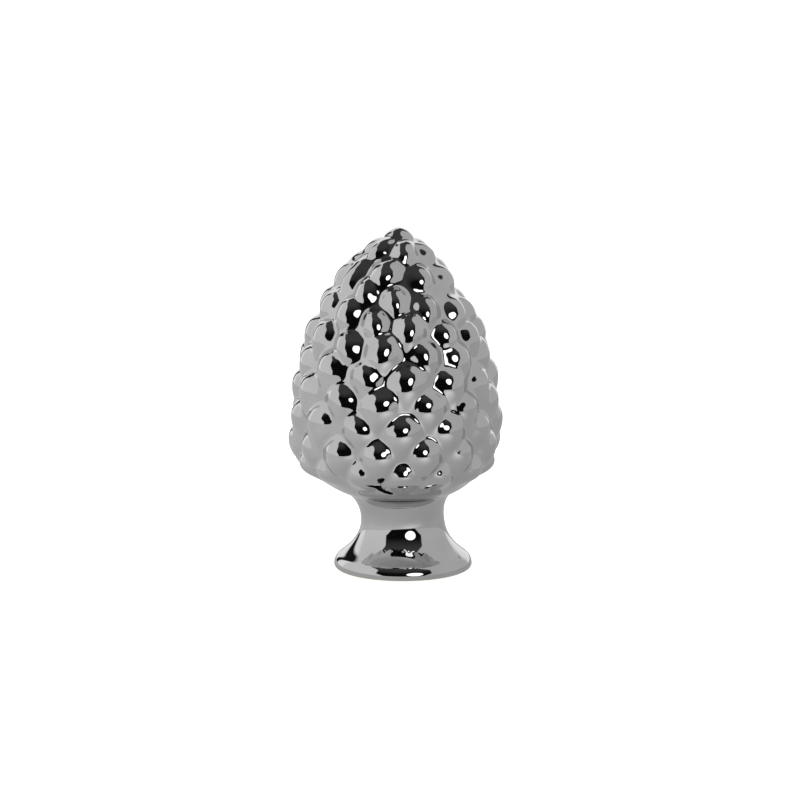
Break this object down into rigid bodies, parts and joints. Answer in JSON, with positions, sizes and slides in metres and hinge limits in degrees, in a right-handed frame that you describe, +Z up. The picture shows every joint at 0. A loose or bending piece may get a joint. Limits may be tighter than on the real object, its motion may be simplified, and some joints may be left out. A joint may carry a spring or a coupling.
{
  "type": "pinecone finial",
  "caption": "Ceramic pinecone with rounded overlapping scales on a waisted neck and flared round foot, all over bright silver lustre; stands by its own weight as a finial or ornament.",
  "frame": {"origin": "centre of the foot's flat underside", "axes": "+Z up through the foot towards the apex; -Y is the side the picture shows, +X to its right"},
  "size_m": [0.0619, 0.0614, 0.1],
  "materials": {
    "silver_lustre": "mirror-bright silver lustre fired over a glaze"
  },
  "bodies": {
    "root": {"pinecone_finial": "silver_lustre"}
  },
  "joints": []
}
